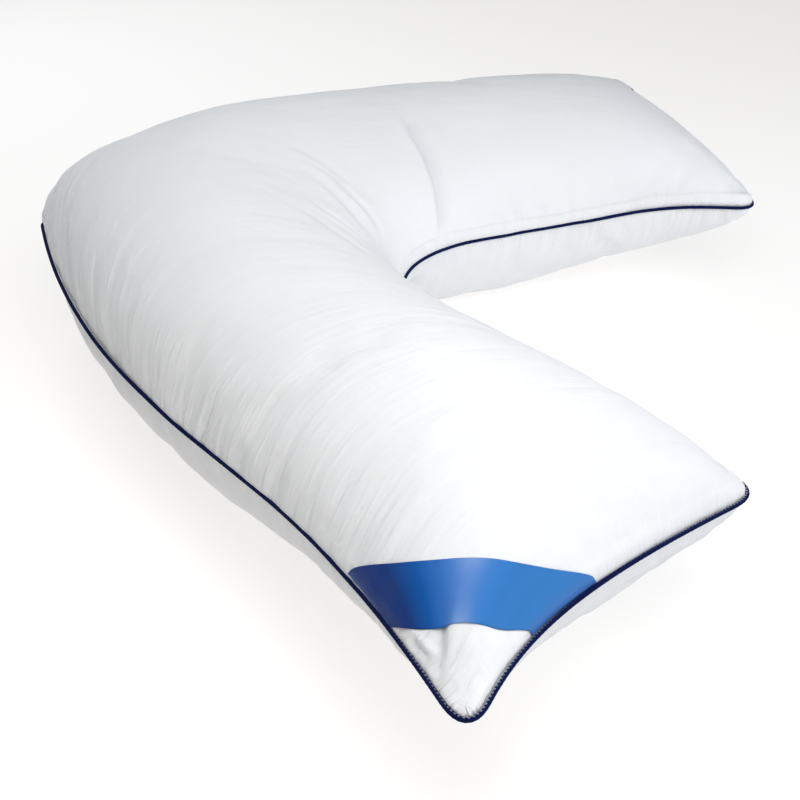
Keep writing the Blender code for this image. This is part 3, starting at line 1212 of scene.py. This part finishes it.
GATHERS = (
    Gathers(Seam.OUTER, -1, Face.TOP, 101, 0.00, 0.90, 0.020, 0.130, 0.0050, 0.0024),
    Gathers(Seam.OUTER, 1, Face.TOP, 102, 0.00, 0.97, 0.020, 0.110, 0.0050, 0.0014),
    Gathers(Seam.OUTER, -1, Face.BOTTOM, 103, 0.02, 0.97, 0.017, 0.070, 0.0046, 0.0012),
    Gathers(Seam.OUTER, 1, Face.BOTTOM, 104, 0.02, 0.97, 0.018, 0.070, 0.0046, 0.0013),
    Gathers(Seam.END, -1, Face.BOTTOM, 107, 0.03, 0.97, 0.015, 0.060, 0.0042, 0.0012, 0.0, 0.005),
    Gathers(Seam.END, 1, Face.BOTTOM, 108, 0.03, 0.97, 0.017, 0.055, 0.0042, 0.0012, 0.0, 0.005),
    Gathers(Seam.INNER, -1, Face.TOP, 109, 0.10, 0.97, 0.018, 0.050, 0.0045, 0.0008, 0.15),
    Gathers(Seam.INNER, 1, Face.TOP, 110, 0.25, 0.97, 0.024, 0.032, 0.0045, 0.0006, 0.10),
    Gathers(Seam.INNER, -1, Face.BOTTOM, 111, 0.05, 0.97, 0.017, 0.055, 0.0045, 0.0011, 0.15),
    Gathers(Seam.INNER, 1, Face.BOTTOM, 112, 0.05, 0.97, 0.018, 0.055, 0.0045, 0.0011, 0.15),
)


# The pieces


def stitched(run: Array, tips: tuple[float, ...]) -> Array:
    """Strength of the scalloped stitching along a seam: 1 at the tips, 0 along the arms."""
    nearest = np.minimum.reduce([np.abs(run - tip) for tip in tips])
    return 1 - ease(nearest / STITCHED_LENGTH)


@dataclass
class PillowBody:
    """Filled cloth body: a top and a bottom panel sewn edge to edge round the V."""

    panel: Panel
    columns: int = 380
    rows: int = 120
    table_size: int = 2001
    weld: float = 0.00002
    sharp_angle: float = 70.0
    fill: float = 0.8
    lump_rise: float = 0.0012
    lump_pitch: float = 0.075
    lump_seed: int = 31
    fold_shade_passes: int = 60
    fold_shade_depth: float = 0.003
    hold_reach: float = 0.004
    near_hem: float = 0.35
    hem_start: float = 0.72
    hem_fade: float = 0.15
    far_start: float = 0.1
    pucker_reach: float = 0.04
    pucker_share: float = 0.3
    finish: CottonFinish = field(default_factory=CottonFinish)
    swelling: Swelling = field(default_factory=Swelling)
    allowance: Allowance = field(default_factory=Allowance)

    def __post_init__(self) -> None:
        """Lay out the fine grid."""
        u, v = (np.linspace(-1, 1, count + 1) for count in (self.columns, self.rows))
        self.u, self.v = np.meshgrid(u, v, indexing="ij")
        self.station, self.across = spaced_station(self.u), spaced_across(self.v)
        edges = zip(Seam, (self.panel.outer, self.panel.end, self.panel.inner))
        self.seam_lengths = {seam: arc_lengths(edge)[-1] for seam, edge in edges}
        self.faces: dict[Face, BodyFace] = {}

    def _shaped(self, face: Face, crumple: Array) -> BodyFace:
        """One face with its crumple, folds and gathers."""
        places = self.panel.surface(self.station, self.across, face)
        i = (self.u + 1) / 2 * (crumple.shape[0] - 1)
        j = (self.v + 1) / 2 * (crumple.shape[1] - 1)
        places = places + blurred(sampled(crumple, i, j), 2)
        body = BodyFace(face, self.station, self.across, places)
        relief = self.allowance.relief(body)
        for fold in FOLDS:
            relief += fold.relief(body, self.panel)
        for gathers in GATHERS:
            relief += gathers.relief(body, self.seam_lengths[gathers.seam])
        lumps = SoftNoise(self.lump_seed + face.value, self.lump_pitch, self.lump_pitch)
        relief += self.lump_rise * lumps.at(places[..., 0] + 2, places[..., 1] + 2)
        hold = ease(body.seam_distance() / self.hold_reach)
        body.raise_by(relief * hold)
        # Painted shade: how far the relief sinks below its blurred form, which darkens the cloth in
        # folds.
        sunk = blurred(relief, self.fold_shade_passes) - relief
        body.cavity = np.clip(sunk / self.fold_shade_depth, 0.0, 1.0) * hold
        return body

    def _seam_run(self, body: BodyFace) -> Array:
        """Distance along the seam of the nearest point on it."""
        outer, end, inner = (self.seam_lengths[seam] for seam in Seam)
        s = np.abs(body.station)
        runs = np.stack([s * outer, outer + body.across * end, outer + end + (1 - s) * inner])
        away = np.stack([body.from_seam[seam] for seam in Seam])
        return np.take_along_axis(runs, away.argmin(axis=0)[None], axis=0)[0]

    def _puckered(self, body: BodyFace) -> Array:
        """Strength of the puckers at the end and inner seams, 0 beside the outer seam."""
        others = np.minimum(body.from_seam[Seam.END], body.from_seam[Seam.INNER])
        return ease((body.from_seam[Seam.OUTER] - others) / self.pucker_reach + self.pucker_share)

    def _hemmed(self, body: BodyFace) -> Array:
        """Strength with which the seam allowance shows: most on the far arm, not at the tips."""
        far = ease(body.station / self.far_start)
        near = self.near_hem * ease((self.hem_start + body.station) / self.hem_fade)
        return (far + (1 - far) * near) * (body.face is Face.TOP)

    def _uvs(self, face: Face) -> Array:
        """UV in metres along and across the arm; the lower panel lies beyond the inner seam."""
        along = self.station * (self.seam_lengths[Seam.OUTER] + self.seam_lengths[Seam.INNER]) / 2
        over = self.faces[face].from_seam[Seam.OUTER]
        girth = over[:, -1:]
        return np.stack([along, over if face is Face.TOP else 2 * girth - over], axis=-1)

    def place(self, station: Array, across: Array) -> Array:
        """Places on the finished top face, by measure."""
        table = np.linspace(-1, 1, self.table_size)
        u = np.interp(station, spaced_station(table), table)
        v = np.arcsin(np.sqrt(np.clip(across, 0, 1))) * 4 / math.pi - 1
        i, j = (u + 1) / 2 * self.columns, (v + 1) / 2 * self.rows
        return sampled(self.faces[Face.TOP].places, i, j)

    def build(self) -> bpy.types.Object:
        """Make the body and dress it."""
        crumple = self.swelling.run(self.panel)
        bm = bmesh.new()
        for face in Face:
            body = self.faces[face] = self._shaped(face, crumple[face])
            run = self._seam_run(body)
            outer, end = self.seam_lengths[Seam.OUTER], self.seam_lengths[Seam.END]
            line, _, reach = body.fan(outer)
            measures = {
                SEAM_DISTANCE: body.seam_distance(),
                SEAM_RUN: run,
                STITCHING: stitched(run, (outer, outer + end)),
                PULL_LINE: line,
                PULL_REACH: reach,
                PUCKERED: self._puckered(body),
                HEMMED: self._hemmed(body),
                FOLD_SHADE: body.cavity,
            }
            ClothGrid(body.places, self._uvs(face), measures).add_to(bm)
        made = finished_mesh("cotton_body", bm, self.weld, self.sharp_angle)
        made.data.materials.append(self.finish.material())
        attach(made, "root")
        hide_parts("pillow")
        return made


@dataclass
class SeamPiping:
    """Navy covered cord sewn into the whole seam."""

    panel: Panel
    radius: float = 0.0017
    spacing: float = 0.0020
    sides: int = 12
    corner_passes: int = 6
    gather_pitch: float = 0.0036
    gather_share: float = 0.05
    arm_samples: int = 600
    end_samples: int = 200
    weld: float = 0.00005
    sharp_angle: float = 60.0
    finish: PipingFinish = field(default_factory=PipingFinish)

    def path(self) -> Array:
        """Closed path of the seam, evenly spaced, its last point on its first."""
        s = np.linspace(0, 1, self.arm_samples)
        edge = np.linspace(0, 1, self.end_samples)[1:-1]
        station = np.concatenate([s, np.ones_like(edge), s[::-1]])
        across = np.concatenate([np.zeros_like(s), edge, np.ones_like(s)])
        half = self.panel.surface(station, across, Face.TOP)
        other = self.panel.surface(-station[::-1], across[::-1], Face.TOP)
        loop = np.concatenate([half, other[1:]])
        count = int(arc_lengths(loop)[-1] / self.spacing)
        ring = point_at(loop, np.linspace(0, 1, count + 1))[:-1]
        for _ in range(self.corner_passes):
            ring = 0.25 * np.roll(ring, 1, axis=0) + 0.5 * ring + 0.25 * np.roll(ring, -1, axis=0)
        return np.concatenate([ring, ring[:1]])

    def build(self) -> bpy.types.Object:
        """Make the cord and dress it."""
        path = self.path()
        run = arc_lengths(path)
        outer, end = (arc_lengths(edge)[-1] for edge in (self.panel.outer, self.panel.end))
        tips = (outer, outer + end, run[-1] - outer - end, run[-1] - outer)
        tangent = np.roll(path[:-1], -1, axis=0) - np.roll(path[:-1], 1, axis=0)
        tangent = unit(np.concatenate([tangent, tangent[:1]]))
        sideways = unit(np.cross(tangent, (0.0, 0.0, 1.0)))
        upwards = np.cross(sideways, tangent)
        turn = np.linspace(0, 2 * math.pi, self.sides + 1)
        beat = 1 + self.gather_share * np.sin(run * 2 * math.pi / self.gather_pitch)
        radius = (self.radius * beat)[:, None, None]
        cosine, sine = (wave(turn)[None, :, None] for wave in (np.cos, np.sin))
        ring = cosine * sideways[:, None] + sine * upwards[:, None]
        places = path[:, None] + radius * ring
        along, around = np.meshgrid(run, turn * self.radius, indexing="ij")
        marks = {STITCHING: np.repeat(stitched(run, tips)[:, None], len(turn), axis=1)}
        bm = bmesh.new()
        ClothGrid(places, np.stack([along, around], axis=-1), marks).add_to(bm)
        made = finished_mesh("seam_piping", bm, self.weld, self.sharp_angle)
        made.data.materials.append(self.finish.material(self.radius))
        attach(made, "root")
        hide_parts("piping")
        return made


@dataclass
class CornerBand:
    """Satin band laid over the outer corner of the near arm, its two ends caught in the seam."""

    body: PillowBody
    upper_edge: tuple[Measure, ...] = (
        (0.8065, 0.0),
        (0.8368, 0.0254),
        (0.8610, 0.0582),
        (0.9040, 0.1416),
        (0.9383, 0.2260),
        (0.9705, 0.3269),
        (0.9922, 0.4224),
        (1.0, 0.4780),
    )
    lower_edge: tuple[Measure, ...] = (
        (0.8830, 0.0),
        (0.8998, 0.0059),
        (0.9143, 0.0226),
        (0.9360, 0.0587),
        (0.9695, 0.1365),
        (0.9912, 0.2077),
        (1.0, 0.2560),
    )
    edge_degree: int = 5
    end_weight: float = 30.0
    end_clear: float = 0.00065
    end_lift: float = 0.0002
    end_share: float = 0.05
    lift: float = 0.0007
    dip: float = 0.0022
    bridging_passes: int = 40
    thickness: float = 0.0003
    settling_passes: int = 3
    samples: int = 800
    columns: int = 150
    rows: int = 36
    weld: float = 0.00001
    sharp_angle: float = 60.0
    finish: SatinFinish = field(default_factory=SatinFinish)

    def _edge_line(self, edge: tuple[Measure, ...]) -> tuple[Array, Array]:
        """Measures along one edge of the band, evenly spaced over the cloth."""
        points = np.array(edge)
        at = arc_lengths(points)
        m = np.linspace(0, at[-1], self.samples)
        weights = np.ones(len(points))
        weights[0] = weights[-1] = self.end_weight
        fits = [np.polyfit(at, column, self.edge_degree, w=weights) for column in points.T]
        s, t = (np.polyval(fit, m) for fit in fits)
        s, t = np.clip(s, 0, 1), np.clip(t, 0, 1)
        places = self.body.place(-s, t)
        level = self.body.panel.seam_level(-s, t)
        keep = places[:, 2] - level > self.end_clear
        lengths = arc_lengths(places)[keep]
        at = np.linspace(lengths[0], lengths[-1], self.columns + 1)
        return np.interp(at, lengths, s[keep]), np.interp(at, lengths, t[keep])

    def build(self) -> bpy.types.Object:
        """Make the band and dress it."""
        lower, upper = self._edge_line(self.lower_edge), self._edge_line(self.upper_edge)
        over = np.linspace(0, 1, self.rows + 1)[None, :]
        s, t = ((1 - over) * low[:, None] + over * high[:, None] for low, high in zip(lower, upper))
        base = self.body.panel.surface(-s, t, Face.TOP)
        normals = grid_normals(base, Face.TOP)
        offset = self.body.place(-s, t) - base
        cloth = np.einsum("ijk,ijk->ij", offset, normals)
        from_end = np.minimum(np.arange(self.columns + 1), np.arange(self.columns, -1, -1))
        taper = ease(from_end / self.columns / self.end_share)[:, None]
        lift = self.end_lift + (self.lift - self.end_lift) * taper
        bridged = blurred(np.maximum(cloth, -self.dip * taper), self.bridging_passes)
        height = np.maximum(bridged * taper + cloth * (1 - taper) + lift, cloth + self.end_lift)
        height = np.maximum(blurred(height, self.settling_passes), cloth + self.end_lift)
        sideways = (offset - normals * cloth[..., None]) * (1 - taper)[..., None]
        places = base + sideways + normals * height[..., None]
        along = arc_lengths(places[:, self.rows // 2])
        width = arc_lengths(places[self.columns // 2])
        uv_along, uv_across = np.meshgrid(along, width, indexing="ij")
        bm = bmesh.new()
        ClothGrid(places, np.stack([uv_along, uv_across], axis=-1)).add_to(bm)
        made = finished_mesh("satin_band", bm, self.weld, self.sharp_angle)
        if sum(polygon.normal.z for polygon in made.data.polygons) < 0:
            made.data.flip_normals()
        solidify = made.modifiers.new("thickness", "SOLIDIFY")
        solidify.thickness = self.thickness
        solidify.offset = 1.0
        made.data.materials.append(self.finish.material(along[-1], width[-1]))
        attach(made, "root")
        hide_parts("corner_band")
        return made


# The studio


@dataclass(frozen=True)
class Softbox:
    """Large soft light that faces a point."""

    name: str
    place: Triple
    size: float
    power: float
    colour: Triple
    aim: Triple = (0.0, -0.1, 0.1)

    def build(self) -> None:
        """Hang the light."""
        light = bpy.data.lights.new(self.name, "AREA")
        light.shape = "SQUARE"
        light.size, light.energy, light.color = self.size, self.power, self.colour
        hung = bpy.data.objects.new(self.name, light)
        hung.location = self.place
        direction = Vector(self.aim) - Vector(self.place)
        hung.rotation_euler = direction.to_track_quat("-Z", "Y").to_euler()
        hung.visible_camera = False
        bpy.context.scene.collection.objects.link(hung)


@dataclass
class Studio:
    """Pale floor, soft light and the camera at the photograph's angle."""

    floor_size: float = 14.0
    floor_drop: float = 0.0005
    floor_finish: FloorFinish = field(default_factory=FloorFinish)
    sky: Colour = (0.98, 1.0, 0.97, 1.0)
    sky_strength: float = 0.150
    seen_depths: Range = (0.01, 100.0)
    camera_place: Triple = (0.2497, -0.9697, 0.6935)
    camera_yaw: float = -12.8124
    camera_tilt: float = 36.502
    camera_roll: float = 2.0966
    focal_pixels: float = 1175.0
    image_pixels: float = 800.0
    sensor: float = 36.0
    lights: tuple[Softbox, ...] = (
        Softbox("high_right", (1.4, -1.1, 2.0), 0.7, 4.4, (0.88, 0.93, 1.0)),
        Softbox("overhead", (0.2, -0.5, 0.9), 0.7, 5.8, (1.0, 0.98, 0.97)),
        Softbox("behind_left", (-1.0, 0.7, 0.9), 0.7, 6.5, (0.88, 0.93, 1.0)),
        Softbox("high_back", (0.0, 0.3, 2.0), 1.2, 4.2, (0.95, 0.98, 1.0)),
        Softbox("low_right", (1.4, 0.1, 0.5), 0.7, 7.6, (0.82, 0.90, 1.0)),
        Softbox("near_right", (1.6, -2.0, 1.0), 0.8, 6.2, (1.0, 0.98, 0.98)),
        Softbox("near_left", (-0.4, -1.8, 1.4), 0.8, 1.8, (1.0, 1.0, 0.98)),
    )

    def build(self) -> None:
        """Set the floor, the lights, the sky and the camera."""
        self._floor()
        self._sky()
        for light in self.lights:
            light.build()
        self._camera()
        bpy.context.scene.view_settings.view_transform = "Standard"

    def _floor(self) -> None:
        """Lay the floor."""
        bm = bmesh.new()
        bmesh.ops.create_grid(bm, x_segments=2, y_segments=2, size=self.floor_size / 2)
        mesh = bpy.data.meshes.new("floor")
        bm.to_mesh(mesh)
        bm.free()
        mesh.transform(Matrix.Translation((0.0, 0.0, -self.floor_drop)))
        floor = bpy.data.objects.new("floor", mesh)
        bpy.context.scene.collection.objects.link(floor)
        floor.data.materials.append(self.floor_finish.material())

    def _sky(self) -> None:
        """Set an even pale sky."""
        world = bpy.data.worlds.new("studio")
        world.use_nodes = True
        background = world.node_tree.nodes["Background"]
        background.inputs["Color"].default_value = self.sky
        background.inputs["Strength"].default_value = self.sky_strength
        bpy.context.scene.world = world

    def _camera(self) -> None:
        """Stand the camera where the photograph was taken."""
        yaw, tilt = math.radians(self.camera_yaw), math.radians(self.camera_tilt)
        roll = math.radians(self.camera_roll)
        flat = Vector((math.sin(yaw), math.cos(yaw), 0.0))
        forward = flat * math.cos(tilt) - Vector((0.0, 0.0, math.sin(tilt)))
        right = Vector((math.cos(yaw), -math.sin(yaw), 0.0))
        up = right.cross(forward)
        side = right * math.cos(roll) + up * math.sin(roll)
        top = up * math.cos(roll) - right * math.sin(roll)
        turn = Matrix((side, top, -forward)).transposed()
        camera = bpy.data.cameras.new("camera")
        camera.sensor_width = self.sensor
        camera.lens = self.focal_pixels / self.image_pixels * self.sensor
        camera.clip_start, camera.clip_end = self.seen_depths
        stood = bpy.data.objects.new("camera", camera)
        stood.matrix_world = Matrix.Translation(self.camera_place) @ turn.to_4x4()
        bpy.context.scene.collection.objects.link(stood)
        bpy.context.scene.camera = stood


def main() -> None:
    """Build the studio and the three pieces."""
    logging.basicConfig(level=logging.INFO, format="%(message)s")
    Studio().build()
    piping = SeamPiping(Panel(0.0))
    body = PillowBody(Panel(piping.radius + SEAM_GAP))
    made = [body.build(), piping.build(), CornerBand(body).build()]
    for piece in made:
        log.info("%s: %d points", piece.name, len(piece.data.vertices))


if __name__ == "__main__":
    main()
